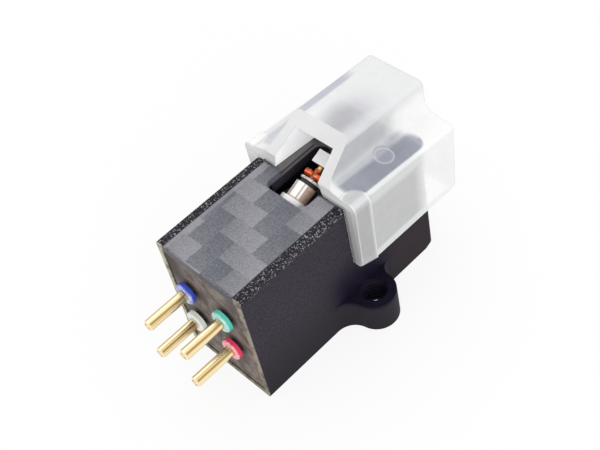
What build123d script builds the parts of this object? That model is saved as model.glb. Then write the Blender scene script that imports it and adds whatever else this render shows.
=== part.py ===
from build123d import *
import math
import os

# Stylus cartridge for a record player's pickup arm, lying on its mounting face.
# Millimetres. X is to the right seen from the contact pins, +Y points to the
# stylus end, +Z rises from the mounting face to the stylus side. The origin is
# midway between the two screw holes, on the mounting face.

# Housing
SCREW_SPACING = 12.7
SCREW_HOLE_R = 1.25
EAR_R = 2.05
EAR_THICK = 3.3
EAR_REAR_FLARE = 1.9
EAR_FRONT_FLARE = 1.2
BODY_WIDTH = 10.2
REAR_Y = -12.65
FRONT_Y = 9.2
DECK_Z = 13.1
DECK_THICK = 1.0
SIDE_WALL = 1.0
FLOOR_THICK = 1.6
FRONT_WALL = 1.0
TOE_LENGTH = 1.0
TOE_HEIGHT = 0.46
RAIL_WIDTH = 0.75
RAIL_END_R = 0.6
RAIL_OVERRUN = 0.35
REAR_RIM = 0.46
EDGE_ROUND = 0.4

# Plate on the stylus side, and the window for the generator
PLATE_THICK = 0.7
PLATE_FRONT_Y = -0.71
PLATE_CLEAR = 0.04
WINDOW_HALF = 2.35
WINDOW_REAR_Y = -2.7
WINDOW_FRONT_Y = 4.13
WINDOW_R = 0.8
HATCH_HALF = 3.4
HATCH_REAR_Y = -10.2

# Terminal board, contact pins and their coloured collars
BOARD_RECESS = 0.15
BOARD_THICK = 1.2
BOARD_CLEAR = 0.03
PIN_R = 0.52
PIN_TAIL_R = 0.25
PIN_LENGTH_OUT = 4.8
PIN_LENGTH_IN = 1.4
PIN_X = 2.3
PIN_LOW_Z = 5.4
PIN_HIGH_Z = 9.45
PIN_NOSE = 0.12
COLLAR_R = 1.02
COLLAR_THICK = 0.9
COLLAR_BEVEL = 0.2

# Generator: its axis rises towards the stylus by the tracking angle
TRACKING_ANGLE = 23.0
PIVOT_Y = 0.46
PIVOT_DROP = 0.3
YOKE_HALF = 2.2
YOKE_DROP = 6.0
YOKE_BASE = 1.4
YOKE_BACK = 1.6
YOKE_TOP = 1.25
REAR_POLE_R = 1.12
REAR_POLE_GAP = 0.43
REAR_POLE_LENGTH = 1.6
FLANGE_R = 1.5
FLANGE_THICK = 1.0
SHANK_R = 0.95
WIRE_R = 0.06
WIRE_CLEAR = 0.03
SCREW_R = 0.45
SCREW_SLOT = 0.16
MAGNET_HALF = 1.9
MAGNET_HEIGHT = 2.0
FRONT_POLE_HALF = 0.8
FRONT_POLE_U = 1.63
FRONT_POLE_LENGTH = 1.22
FRONT_POLE_RISE = 0.64
FRONT_POLE_BORE_R = 0.47

# Moving system on the damper
DAMPER_R = 0.85
DAMPER_THICK = 0.3
RUN_CLEAR = 0.05
DISC_R = 1.02
DISC_THICK = 0.2
HUB_R = 0.34
HUB_LENGTH = 1.13
COIL_R = 0.37
COIL_BORE_R = 0.17
COIL_THICK = 0.85
COIL_SPREAD = 0.55
COIL_LIFT = 0.08
COIL_TILT = 90.0
COIL_U = 0.7
PIPE_R = 0.25
PIPE_LENGTH = 2.1
ROD_R = 0.14
ROD_INSERT = 1.0
ROD_END_U = 7.1
TIP_INSET = 0.28
TIP_R = 0.09
TIP_HEIGHT = 0.78
TIP_POINT_R = 0.015

# Stylus guard, a cap that slides on from the front
GUARD_SIDE_CLEAR = 0.08
GUARD_SKIRT = 1.12
GUARD_FRONT_Y = 12.14
GUARD_FRONT_WALL = 0.9
GUARD_SEAT_CLEAR = 0.1
GUARD_SHOULDER = 1.15
GUARD_SHOULDER_FALL = 0.085
GUARD_SHOULDER_SPLAY = 0.3
GUARD_SKIRT_END_Z = 6.35
GUARD_SKIRT_FALL = 0.02
GUARD_HEEL = 0.65
GUARD_HUMP_FALL = 0.062
GUARD_HUMP_REAR_Y = 3.05
GUARD_HUMP_HALF = 3.0
GUARD_HUMP_SPREAD = 0.015
GUARD_FLANK = 0.7
GUARD_FLANK_FALL = 0.045
GUARD_FLANK_R = 1.1
GUARD_EDGE_R = 0.45
GUARD_NOSE_R = 0.3
GUARD_DRAFT = 0.35
TUNNEL_ROOF = 0.86
TUNNEL_CLEAR = 0.63
TUNNEL_TOP_HALF = 2.2
TUNNEL_FOOT_HALF = 2.85
POST_WIDTH = 1.9
POST_PROUD = 0.35
POST_RISE = -0.1
POST_R = 0.8
MARK_R = 0.95
MARK_DEPTH = 0.06
MARK_X = 4.37
MARK_Y = 5.32

# Coil leads
LEAD_R = 0.08
LEAD_SIDES = 8

# Worked-out places
HALF_WIDTH = BODY_WIDTH / 2
RAIL_TOP_Z = DECK_Z + PLATE_THICK
PIVOT_Z = DECK_Z - PIVOT_DROP
EAR_X = SCREW_SPACING / 2
BOARD_REAR_Y = REAR_Y + BOARD_RECESS
BOARD_FRONT_Y = BOARD_REAR_Y + BOARD_THICK
GENERATOR = Plane(
    origin=(0, PIVOT_Y, PIVOT_Z),
    x_dir=(1, 0, 0),
    z_dir=(0, -math.sin(math.radians(TRACKING_ANGLE)), math.cos(math.radians(TRACKING_ANGLE))),
)
YOKE_FRONT_U = FRONT_POLE_U + FRONT_POLE_LENGTH
POLE_REAR_U = -REAR_POLE_GAP - REAR_POLE_LENGTH
YOKE_FACE_U = POLE_REAR_U - FLANGE_THICK
YOKE_REAR_U = YOKE_FACE_U - YOKE_BACK
YOKE_TOP_OF_BASE = YOKE_BASE - YOKE_DROP
MAGNET_TOP = YOKE_TOP_OF_BASE + MAGNET_HEIGHT
DAMPER_REAR_U = -REAR_POLE_GAP + RUN_CLEAR
DISC_REAR_U = DAMPER_REAR_U + DAMPER_THICK + RUN_CLEAR
HUB_REAR_U = DISC_REAR_U + DISC_THICK
HUB_FRONT_U = HUB_REAR_U + HUB_LENGTH
PIPE_START_U = COIL_U + COIL_R + RUN_CLEAR
PIPE_END_U = PIPE_START_U + PIPE_LENGTH
ROD_START_U = PIPE_END_U - ROD_INSERT
TIP_U = ROD_END_U - TIP_INSET
TIP_FOOT = (GENERATOR * Pos(0, TIP_U, 0)).position
GUARD_REAR_Y = PLATE_FRONT_Y
GUARD_HUMP_Z = TIP_FOOT.Z + TIP_HEIGHT + TUNNEL_CLEAR + TUNNEL_ROOF
GUARD_INNER_HALF = HALF_WIDTH + GUARD_SIDE_CLEAR
GUARD_HALF = GUARD_INNER_HALF + GUARD_SKIRT


def block(x0, x1, y0, y1, z0, z1):
    """Rectangular solid between two opposite corners."""
    size = Box(x1 - x0, y1 - y0, z1 - z0, align=(Align.MIN, Align.MIN, Align.MIN))
    return Pos(x0, y0, z0) * size


def side_solid(points, half_width):
    """Solid of a side outline in Y and Z, equally thick on both sides of the middle."""
    outline = make_face(Polyline(points, close=True))
    return extrude(Plane.YZ * outline, half_width, both=True)


def rounded_outline(corners):
    """Closed outline through (across, up, radius) corners, each rounded by its radius."""
    outline = make_face(Polyline([corner[:2] for corner in corners], close=True))
    for across, up, radius in corners:
        if radius > 0:
            corner = outline.vertices().sort_by_distance((across, up, 0))[0]
            outline = fillet(corner, radius)
    return outline


def mirrored(right_corners):
    """Corner list made whole by its mirror image across the middle."""
    left_corners = [(-across, up, radius) for across, up, radius in reversed(right_corners)]
    return right_corners + left_corners


def along_axis(radius, start, end):
    """Round bar on the generator's axis between two places along it."""
    bar = Cylinder(radius, end - start, align=(Align.CENTER, Align.CENTER, Align.MIN))
    return GENERATOR * (Pos(0, start, 0) * (Rot(-90, 0, 0) * bar))


def on_generator(x0, x1, u0, u1, n0, n1):
    """Rectangular solid square to the generator's axis."""
    return GENERATOR * block(x0, x1, u0, u1, n0, n1)


def window_cut(rear, front, bottom, top):
    """Round-cornered prism of the generator's window."""
    length = front - rear
    outline = RectangleRounded(2 * WINDOW_HALF, length, WINDOW_R)
    return Pos(0, rear + length / 2, bottom) * extrude(outline, top - bottom)


def flare_centre(radius):
    """Centre of the hollow arc that leads from the housing's side into an ear."""
    across = HALF_WIDTH + radius
    along = math.sqrt((EAR_R + radius) ** 2 - (EAR_X - across) ** 2)
    return across, along


def make_ears():
    """Two screw ears that flare into the housing's sides, with their screw holes."""
    root = HALF_WIDTH - SIDE_WALL / 2
    rear_across, rear_along = flare_centre(EAR_REAR_FLARE)
    front_across, front_along = flare_centre(EAR_FRONT_FLARE)
    web = make_face(Polyline([
        (root, -rear_along),
        (rear_across, -rear_along),
        (EAR_X, 0),
        (front_across, front_along),
        (root, front_along),
    ], close=True))
    web = web - Pos(rear_across, -rear_along) * Circle(EAR_REAR_FLARE)
    web = web - Pos(front_across, front_along) * Circle(EAR_FRONT_FLARE)
    outline = web + Pos(EAR_X, 0) * Circle(EAR_R)
    ear = extrude(outline, EAR_THICK)
    ear = ear - Pos(EAR_X, 0, EAR_THICK / 2) * Cylinder(SCREW_HOLE_R, 2 * EAR_THICK)
    return ear + mirror(ear, about=Plane.YZ)


def make_rail():
    """One rail beside the plate, rounded down at its front end."""
    end = PLATE_FRONT_Y + RAIL_OVERRUN
    outline = rounded_outline([
        (REAR_Y, DECK_Z, 0),
        (end, DECK_Z, 0),
        (end, RAIL_TOP_Z, RAIL_END_R),
        (REAR_Y, RAIL_TOP_Z, 0),
    ])
    rail = extrude(Plane.YZ * outline, RAIL_WIDTH)
    return Pos(HALF_WIDTH - RAIL_WIDTH, 0, 0) * rail


def make_housing():
    """Moulded housing: ears, rails, deck with window and hatch, sloping generator bed."""
    shell = side_solid([
        (REAR_Y, 0),
        (FRONT_Y - TOE_LENGTH, 0),
        (FRONT_Y, TOE_HEIGHT),
        (FRONT_Y, DECK_Z),
        (REAR_Y, DECK_Z),
    ], HALF_WIDTH)
    inner_half = HALF_WIDTH - SIDE_WALL
    inside = block(-inner_half, inner_half, BOARD_FRONT_Y, FRONT_Y - FRONT_WALL,
                   FLOOR_THICK, DECK_Z - DECK_THICK)
    board_half = HALF_WIDTH - REAR_RIM
    rear_seat = block(-board_half, board_half, REAR_Y, BOARD_FRONT_Y, REAR_RIM, DECK_Z)
    hatch = block(-HATCH_HALF, HATCH_HALF, HATCH_REAR_Y, WINDOW_REAR_Y + WINDOW_R,
                  DECK_Z - DECK_THICK, DECK_Z)
    window = window_cut(WINDOW_REAR_Y, WINDOW_FRONT_Y, DECK_Z - DECK_THICK, DECK_Z)
    shell = shell - inside - rear_seat - hatch - window
    rise = math.tan(math.radians(TRACKING_ANGLE))
    bed_rear = (GENERATOR * Pos(0, YOKE_REAR_U, -YOKE_DROP)).position
    bed_front = (GENERATOR * Pos(0, YOKE_FRONT_U, -YOKE_DROP)).position
    bed = side_solid([
        (bed_rear.Y, FLOOR_THICK),
        (bed_front.Y, FLOOR_THICK),
        (bed_front.Y, bed_rear.Z + rise * (bed_front.Y - bed_rear.Y)),
        (bed_rear.Y, bed_rear.Z),
    ], YOKE_HALF)
    rail = make_rail()
    shell = shell + make_ears() + bed + rail + mirror(rail, about=Plane.YZ)
    upright = shell.edges().filter_by(Axis.Z).filter_by_position(Axis.Y, FRONT_Y - 0.01, FRONT_Y + 0.01)
    return fillet(upright, EDGE_ROUND)


def make_underside_plate():
    """Plate between the rails, notched round the generator's window."""
    half = HALF_WIDTH - RAIL_WIDTH - PLATE_CLEAR
    plate = block(-half, half, REAR_Y, PLATE_FRONT_Y, DECK_Z, RAIL_TOP_Z)
    return plate - window_cut(WINDOW_REAR_Y, WINDOW_FRONT_Y, DECK_Z, RAIL_TOP_Z)


def pin_places():
    """Contact pin places by colour, as (x, z)."""
    return {
        "blue": (-PIN_X, PIN_HIGH_Z),
        "green": (PIN_X, PIN_HIGH_Z),
        "white": (-PIN_X, PIN_LOW_Z),
        "red": (PIN_X, PIN_LOW_Z),
    }


def rearward(solid, x, y, z):
    """Turns a part made along +Z to point to the rear, at a place."""
    return Pos(x, y, z) * (Rot(90, 0, 0) * solid)


def make_terminal_board():
    """Board that closes the rear end and carries the contact pins."""
    half = HALF_WIDTH - REAR_RIM - BOARD_CLEAR
    board = block(-half, half, BOARD_REAR_Y, BOARD_FRONT_Y, REAR_RIM + BOARD_CLEAR, DECK_Z - BOARD_CLEAR)
    for x, z in pin_places().values():
        hole = Cylinder(PIN_TAIL_R, 4 * BOARD_THICK)
        board = board - rearward(hole, x, BOARD_REAR_Y, z)
    return board


def make_pin(x, z):
    """Contact pin: a thin tail through board and collar, and a free end with a bevelled nose."""
    tail_length = PIN_LENGTH_IN + BOARD_THICK + COLLAR_THICK
    free_length = BOARD_RECESS + PIN_LENGTH_OUT - COLLAR_THICK
    pin = Cylinder(PIN_R, free_length, align=(Align.CENTER, Align.CENTER, Align.MIN))
    nose = pin.edges().sort_by(Axis.Z)[-1]
    pin = Pos(0, 0, tail_length) * chamfer(nose, PIN_NOSE)
    pin = pin + Cylinder(PIN_TAIL_R, tail_length, align=(Align.CENTER, Align.CENTER, Align.MIN))
    return rearward(pin, x, BOARD_FRONT_Y + PIN_LENGTH_IN, z)


def make_collar(x, z):
    """Coloured collar between a contact pin's shoulder and the board."""
    collar = Cylinder(COLLAR_R, COLLAR_THICK, align=(Align.CENTER, Align.CENTER, Align.MIN))
    rim = collar.edges().sort_by(Axis.Z)[-1]
    collar = chamfer(rim, COLLAR_BEVEL)
    collar = collar - Cylinder(PIN_TAIL_R, 4 * COLLAR_THICK)
    return rearward(collar, x, BOARD_REAR_Y, z)


def make_yoke():
    """Soft-iron yoke: a base, and a back wall that holds the rear pole."""
    yoke = on_generator(-YOKE_HALF, YOKE_HALF, YOKE_REAR_U, YOKE_FRONT_U, -YOKE_DROP, YOKE_TOP_OF_BASE)
    yoke = yoke + on_generator(-YOKE_HALF, YOKE_HALF, YOKE_REAR_U, YOKE_FACE_U, YOKE_TOP_OF_BASE, YOKE_TOP)
    yoke = yoke - along_axis(SHANK_R, YOKE_REAR_U, YOKE_FACE_U)
    return yoke - screw_hole()


def screw_place():
    """Middle of the locking screw along the generator's axis."""
    return (YOKE_REAR_U + YOKE_FACE_U) / 2


def screw_hole():
    """Cross hole of the locking screw, from the yoke's right side to the shank."""
    hole = Cylinder(SCREW_R, YOKE_HALF, align=(Align.CENTER, Align.CENTER, Align.MIN))
    return GENERATOR * (Pos(0, screw_place(), 0) * (Rot(0, 90, 0) * hole))


def make_locking_screw():
    """Slotted screw that locks the rear pole's shank in the yoke."""
    length = YOKE_HALF - SHANK_R
    screw = Cylinder(SCREW_R, length, align=(Align.CENTER, Align.CENTER, Align.MIN))
    screw = screw - Pos(0, 0, length) * Box(SCREW_SLOT, 3 * SCREW_R, 2 * SCREW_SLOT)
    place = Pos(SHANK_R, screw_place(), 0) * Rot(0, 90, 0)
    screw = GENERATOR * (place * screw)
    return screw - along_axis(SHANK_R, YOKE_REAR_U, YOKE_FACE_U)


def make_rear_pole():
    """Plated rear pole: nose, flange and shank, bored for the tie wire."""
    pole = along_axis(REAR_POLE_R, POLE_REAR_U, -REAR_POLE_GAP)
    pole = pole + along_axis(FLANGE_R, YOKE_FACE_U, POLE_REAR_U)
    pole = pole + along_axis(SHANK_R, YOKE_REAR_U, YOKE_FACE_U)
    return pole - along_axis(WIRE_R, YOKE_REAR_U, 0)


def make_tie_wire():
    """Tie wire through the rear pole to the pivot in the damper."""
    return along_axis(WIRE_R, YOKE_REAR_U, 0)


def make_magnet():
    """Block magnet between the yoke's base and the front pole."""
    return on_generator(-MAGNET_HALF, MAGNET_HALF, FRONT_POLE_U, YOKE_FRONT_U, YOKE_TOP_OF_BASE, MAGNET_TOP)


def make_front_pole():
    """Front pole on the magnet, bored so that the joint pipe passes freely."""
    pole = on_generator(-FRONT_POLE_HALF, FRONT_POLE_HALF, FRONT_POLE_U, YOKE_FRONT_U,
                        MAGNET_TOP, FRONT_POLE_RISE)
    return pole - along_axis(FRONT_POLE_BORE_R, FRONT_POLE_U, YOKE_FRONT_U)


def make_damper():
    """Rubber damper disc round the pivot."""
    disc = along_axis(DAMPER_R, DAMPER_REAR_U, DAMPER_REAR_U + DAMPER_THICK)
    return disc - along_axis(WIRE_R + WIRE_CLEAR, -1, 1)


def coil_place(side):
    """Place of one coil: its middle, turned to its side."""
    return Pos(side * COIL_SPREAD, COIL_U, COIL_LIFT) * Rot(0, side * COIL_TILT, 0)


def make_coil(side):
    """One ring coil, right (1) or left (-1)."""
    ring = Cylinder(COIL_R, COIL_THICK) - Cylinder(COIL_BORE_R, 2 * COIL_THICK)
    return GENERATOR * (coil_place(side) * ring)


def make_coil_former():
    """Former: a disc against the damper, a hub for the pipe and a post in each coil."""
    former = along_axis(DISC_R, DISC_REAR_U, HUB_REAR_U) + along_axis(HUB_R, HUB_REAR_U, HUB_FRONT_U)
    reach = COIL_THICK / 2 + COIL_SPREAD / 2
    for side in (1, -1):
        post = Pos(0, 0, -reach) * Cylinder(COIL_BORE_R, reach + COIL_THICK / 2,
                                            align=(Align.CENTER, Align.CENTER, Align.MIN))
        former = former + GENERATOR * (coil_place(side) * post)
        former = former - make_coil(side)
    return former - along_axis(PIPE_R, PIPE_START_U, HUB_FRONT_U)


def make_joint_pipe():
    """Pipe that joins the former to the cantilever rod."""
    pipe = along_axis(PIPE_R, PIPE_START_U, PIPE_END_U)
    return pipe - along_axis(ROD_R, ROD_START_U, PIPE_END_U)


def make_stylus_tip():
    """Stylus: a short shank through the rod and a cone to its point, square to the record."""
    shank_half = ROD_R / math.cos(math.radians(TRACKING_ANGLE))
    shank = Cylinder(TIP_R, 2 * shank_half)
    point = Cone(TIP_R, TIP_POINT_R, TIP_HEIGHT - shank_half, align=(Align.CENTER, Align.CENTER, Align.MIN))
    return Pos(TIP_FOOT.X, TIP_FOOT.Y, TIP_FOOT.Z) * (shank + Pos(0, 0, shank_half) * point)


def make_cantilever():
    """Cantilever rod from the joint pipe to past the stylus."""
    rod = along_axis(ROD_R, ROD_START_U, ROD_END_U)
    return rod - make_stylus_tip()


def guard_shoulder_z(y):
    """Underside of the guard's shoulders, falling to the deck's front edge."""
    return DECK_Z + GUARD_SEAT_CLEAR + GUARD_SHOULDER_FALL * (FRONT_Y - y)


def guard_hump_z(y):
    """Top of the guard's hump, which clears the stylus below it and falls to the front."""
    return GUARD_HUMP_Z - GUARD_HUMP_FALL * (y - TIP_FOOT.Y)


def guard_skirt_z(y):
    """Free edge of the guard's skirts, raised to a heel at the rear."""
    behind = y - GUARD_REAR_Y
    heel = GUARD_HEEL * max(0, 1 - behind / POST_WIDTH)
    return GUARD_SKIRT_END_Z + heel - GUARD_SKIRT_FALL * behind


def section_plane(y):
    """Upright plane across the guard."""
    return Plane.XZ.offset(-y)


def guard_hump_half(y):
    """Half the width of the hump's top."""
    return GUARD_HUMP_HALF + GUARD_HUMP_SPREAD * (y - GUARD_HUMP_REAR_Y)


def guard_foot_half(y):
    """Half the width over the hump's feet, where its flanks meet the shoulders."""
    return guard_hump_half(y) + GUARD_FLANK - GUARD_FLANK_FALL * (y - GUARD_REAR_Y)


def guard_outside(y, inset=0):
    """Outer section of the guard: skirts, splayed shoulders, hollow flanks and hump."""
    half = GUARD_HALF - inset
    shoulder = guard_shoulder_z(y) + GUARD_SHOULDER - inset
    right = [
        (half - GUARD_DRAFT, guard_skirt_z(y), 0),
        (half, shoulder - GUARD_SHOULDER_SPLAY, GUARD_EDGE_R),
        (guard_foot_half(y) - inset, shoulder + GUARD_SHOULDER_SPLAY, GUARD_FLANK_R),
        (guard_hump_half(y) - inset, guard_hump_z(y) - inset, GUARD_EDGE_R),
    ]
    return section_plane(y) * rounded_outline(mirrored(right))


def guard_inside(y):
    """Inner section of the guard: room for the housing, and the stylus tunnel."""
    ceiling = guard_shoulder_z(y)
    right = [
        (GUARD_INNER_HALF, guard_skirt_z(y) - GUARD_SKIRT, 0),
        (GUARD_INNER_HALF, ceiling, 0),
        (TUNNEL_FOOT_HALF, ceiling, 0),
        (TUNNEL_TOP_HALF, guard_hump_z(y) - TUNNEL_ROOF, 0),
    ]
    return section_plane(y) * rounded_outline(mirrored(right))


def post_section(y):
    """Section of the rib at the rear of the right skirt, round at its outer top."""
    top = guard_shoulder_z(y) + GUARD_SHOULDER + POST_RISE
    return section_plane(y) * rounded_outline([
        (GUARD_INNER_HALF, guard_skirt_z(y), 0),
        (GUARD_HALF - GUARD_DRAFT, guard_skirt_z(y), 0),
        (GUARD_HALF, guard_skirt_z(y) + GUARD_DRAFT, 0),
        (GUARD_HALF + POST_PROUD, top, POST_R),
        (GUARD_INNER_HALF, top, 0),
    ])


def make_mark():
    """Shallow round mark sunk square into the right shoulder."""
    splay = 2 * GUARD_SHOULDER_SPLAY / (GUARD_HALF - guard_foot_half(MARK_Y))
    middle = guard_shoulder_z(MARK_Y) + GUARD_SHOULDER - GUARD_SHOULDER_SPLAY + splay * (GUARD_HALF - MARK_X)
    face = Plane(origin=(MARK_X, MARK_Y, middle), z_dir=(splay, GUARD_SHOULDER_FALL, 1))
    sinker = Cylinder(MARK_R, MARK_R, align=(Align.CENTER, Align.CENTER, Align.MIN))
    return face * (Pos(0, 0, -MARK_DEPTH) * sinker)


def make_stylus_guard():
    """Cap over the stylus: lofted shell, rear end cut on the slope, a rib on each skirt."""
    sections = [guard_outside(GUARD_REAR_Y), guard_outside(GUARD_REAR_Y + POST_WIDTH)]
    for turn in (0, 45, 90):
        inset = GUARD_NOSE_R * (1 - math.cos(math.radians(turn)))
        ahead = GUARD_NOSE_R * (1 - math.sin(math.radians(turn)))
        sections.append(guard_outside(GUARD_FRONT_Y - ahead, inset))
    outer = loft(sections, ruled=True)
    inner_front = GUARD_FRONT_Y - GUARD_FRONT_WALL
    inner_rear = GUARD_REAR_Y - GUARD_SKIRT
    heel_front = GUARD_REAR_Y + POST_WIDTH
    inner = loft([guard_inside(inner_rear), guard_inside(heel_front), guard_inside(inner_front)], ruled=True)
    shoulder = guard_shoulder_z(GUARD_REAR_Y) + GUARD_SHOULDER + GUARD_SHOULDER_SPLAY
    post = loft([post_section(GUARD_REAR_Y), post_section(GUARD_REAR_Y + POST_WIDTH)], ruled=True)
    rake = (guard_hump_z(GUARD_HUMP_REAR_Y) - shoulder) / (GUARD_HUMP_REAR_Y - GUARD_REAR_Y)
    run = GUARD_HUMP_REAR_Y - GUARD_REAR_Y
    scoop = side_solid([
        (GUARD_REAR_Y - run, shoulder - rake * run),
        (GUARD_HUMP_REAR_Y + run, shoulder + 2 * rake * run),
        (GUARD_REAR_Y - run, shoulder + 2 * rake * run),
    ], 2 * GUARD_HALF)
    return outer - scoop + post + mirror(post, about=Plane.YZ) - inner - make_mark()


def make_lead(x, z, drop):
    """Coil lead from the rear pole's side, past the yoke, to a pin's solder end."""
    side = 1 if x > 0 else -1
    pole_side = REAR_POLE_R + LEAD_R + WIRE_CLEAR
    start = (GENERATOR * Pos(side * pole_side, POLE_REAR_U / 2, -drop)).position
    beside_yoke = side * (YOKE_HALF + 4 * LEAD_R)
    over = (GENERATOR * Pos(beside_yoke, YOKE_FACE_U + 6 * LEAD_R, -2 * drop)).position
    beside = (GENERATOR * Pos(beside_yoke, YOKE_REAR_U, -4 * drop)).position
    solder_y = BOARD_FRONT_Y + PIN_LENGTH_IN
    ahead = (solder_y + beside.Y) / 2
    points = [start, over, beside, (x, ahead, z), (x, solder_y, z)]
    path = Polyline(points)
    section = Plane(origin=path @ 0, z_dir=path % 0) * RegularPolygon(LEAD_R, LEAD_SIDES)
    return sweep(section, path=path, transition=Transition.RIGHT)


def make_parts():
    """All pieces by name."""
    parts = {
        "housing": make_housing(),
        "underside_plate": make_underside_plate(),
        "terminal_board": make_terminal_board(),
        "stylus_guard": make_stylus_guard(),
        "yoke": make_yoke(),
        "locking_screw": make_locking_screw(),
        "rear_pole": make_rear_pole(),
        "tie_wire": make_tie_wire(),
        "magnet": make_magnet(),
        "front_pole": make_front_pole(),
        "damper": make_damper(),
        "coil_former": make_coil_former(),
        "left_coil": make_coil(-1),
        "right_coil": make_coil(1),
        "joint_pipe": make_joint_pipe(),
        "cantilever": make_cantilever(),
        "stylus_tip": make_stylus_tip(),
    }
    for colour, (x, z) in pin_places().items():
        parts[colour + "_pin"] = make_pin(x, z)
        parts[colour + "_collar"] = make_collar(x, z)
        drop = 3 * LEAD_R if z > PIN_LOW_Z else 7 * LEAD_R
        parts[colour + "_lead"] = make_lead(x, z, drop)
    return parts


def main():
    """Writes one file for each piece."""
    os.makedirs("parts", exist_ok=True)
    for name, solid in make_parts().items():
        export_step(solid, os.path.join("parts", name + ".step"))


main()
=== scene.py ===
"""Looks of a stylus cartridge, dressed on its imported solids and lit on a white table."""

import logging
import math
from abc import ABC, abstractmethod
from dataclasses import dataclass
from enum import Enum
from typing import Any, Mapping, Optional, Sequence, Union

import bmesh
import bpy
from mathutils import Matrix, Vector


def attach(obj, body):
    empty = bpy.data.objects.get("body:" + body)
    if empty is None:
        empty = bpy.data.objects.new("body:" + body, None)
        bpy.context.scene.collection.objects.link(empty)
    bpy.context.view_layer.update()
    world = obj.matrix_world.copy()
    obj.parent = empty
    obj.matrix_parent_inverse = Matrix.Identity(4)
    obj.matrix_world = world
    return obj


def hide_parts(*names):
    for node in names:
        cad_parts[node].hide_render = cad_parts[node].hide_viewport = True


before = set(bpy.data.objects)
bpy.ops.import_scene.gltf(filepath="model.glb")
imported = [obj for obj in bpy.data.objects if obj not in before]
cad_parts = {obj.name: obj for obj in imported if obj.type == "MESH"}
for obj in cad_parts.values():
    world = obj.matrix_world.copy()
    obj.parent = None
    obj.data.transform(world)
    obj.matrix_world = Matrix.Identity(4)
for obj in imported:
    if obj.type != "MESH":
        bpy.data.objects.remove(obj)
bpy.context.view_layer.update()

LOG = logging.getLogger("cartridge")
MM = 0.001
MERGE_DISTANCE = 1e-7

Colour = tuple[float, float, float]
Band = tuple[float, float]
Point = tuple[float, float, float]
Number = Union["Value", float]

BLACK: Colour = (0.0, 0.0, 0.0)
WHITE: Colour = (1.0, 1.0, 1.0)


class Side(Enum):
    """Left or right of the middle, seen from the contact pins."""

    LEFT = -1
    RIGHT = 1


class CollarHue(Enum):
    """Colours of the four contact collars."""

    WHITE = (0.90, 0.96, 0.91)
    BLUE = (0.030, 0.075, 0.60)
    RED = (0.95, 0.050, 0.130)
    GREEN = (0.11, 0.68, 0.55)


class Value:
    """A shader number that takes part in Python arithmetic."""

    def __init__(self, shader: "Shader", socket: bpy.types.NodeSocket) -> None:
        """Holds the socket that gives the number."""
        self.shader = shader
        self.socket = socket

    def __add__(self, other: Number) -> "Value":
        """Sum."""
        return self.shader.math("ADD", self, other)

    __radd__ = __add__

    def __sub__(self, other: Number) -> "Value":
        """Difference."""
        return self.shader.math("SUBTRACT", self, other)

    def __rsub__(self, other: Number) -> "Value":
        """Difference from a plain number."""
        return self.shader.math("SUBTRACT", other, self)

    def __mul__(self, other: Number) -> "Value":
        """Product."""
        return self.shader.math("MULTIPLY", self, other)

    def __truediv__(self, other: Number) -> "Value":
        """Quotient."""
        return self.shader.math("DIVIDE", self, other)

    def __mod__(self, other: Number) -> "Value":
        """Remainder that is never negative."""
        return self.shader.math("FLOORED_MODULO", self, other)

    def __lt__(self, other: Number) -> "Value":
        """One where this is the smaller, else zero."""
        return self.shader.math("LESS_THAN", self, other)

    def floor(self) -> "Value":
        """Whole number below."""
        return self.shader.math("FLOOR", self)

    def size(self) -> "Value":
        """Value without its sign."""
        return self.shader.math("ABSOLUTE", self)

    def above(self, low: float, high: float) -> "Value":
        """Smooth step from zero at low to one at high.

        Args:
            low: value at which the step starts.
            high: value at which it ends.

        Returns:
            The step.
        """
        step = self.shader.node("ShaderNodeMapRange", {"interpolation_type": "SMOOTHSTEP"},
                                {"Value": self, "From Min": low, "From Max": high})
        return Value(self.shader, step.outputs["Result"])

    def below(self, low: float, high: float) -> "Value":
        """Smooth step from one at low to zero at high."""
        return 1 - self.above(low, high)

    def near(self, middle: float, core: float, fade: float) -> "Value":
        """One up to a core distance from the middle, zero from a fade distance on."""
        return (self - middle).size().below(core, fade)


Link = Union[Value, bpy.types.NodeSocket, float, Sequence[float]]


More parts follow.
